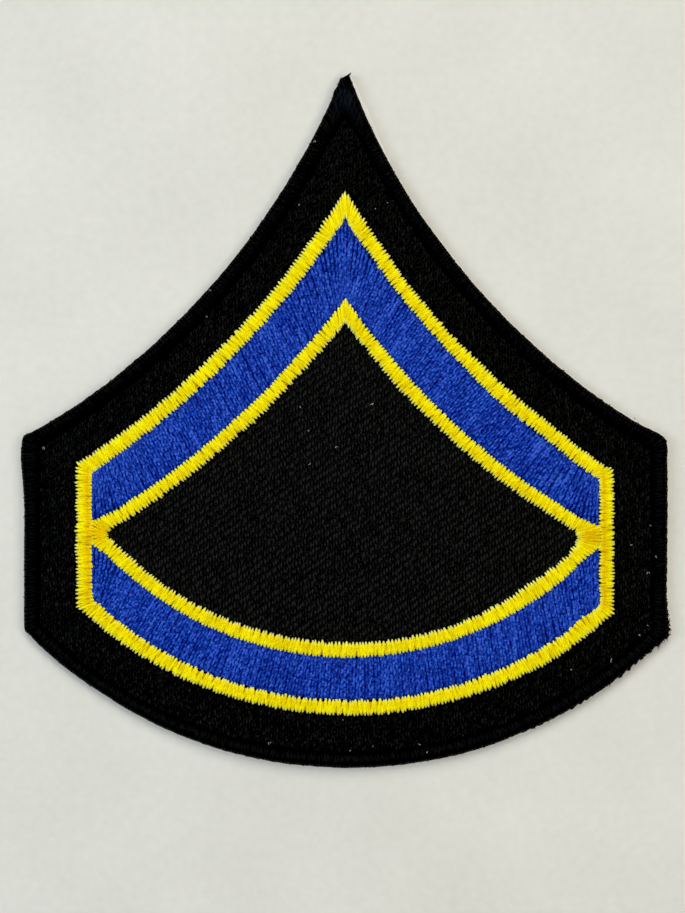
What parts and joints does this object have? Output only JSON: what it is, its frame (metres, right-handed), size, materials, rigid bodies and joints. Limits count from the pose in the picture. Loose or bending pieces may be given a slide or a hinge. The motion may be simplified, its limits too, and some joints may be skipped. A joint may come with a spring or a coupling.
{
  "type": "rank chevron patch",
  "caption": "Embroidered sleeve patch: black twill with a satin edge, a blue chevron over a blue curved bar, both outlined in yellow, and a heat-seal back.",
  "frame": {"origin": "middle of the back face: the centre of the box, at its lowest level", "axes": "+Z out of the embroidered face, +Y from the curved base to the point, +X to the right as the face is seen"},
  "size_m": [0.0764, 0.0822, 0.0019],
  "materials": {
    "film": "heat-seal film, slightly cloudy, satin sheen",
    "twill": "black polyester-cotton twill, fine diagonal ribs, matt",
    "edge_thread": "black polyester embroidery thread in satin stitch, soft sheen",
    "yellow_thread": "bright yellow polyester embroidery thread in satin stitch, glossy",
    "blue_thread": "royal blue polyester embroidery thread in fill stitch, glossy"
  },
  "bodies": {
    "root": {"backing": "film", "ground_cloth": "twill", "edge_border": "edge_thread", "outer_outline": "yellow_thread", "chevron_outline": "yellow_thread", "rocker_outline": "yellow_thread", "chevron_fill": "blue_thread", "rocker_fill": "blue_thread"}
  },
  "joints": []
}
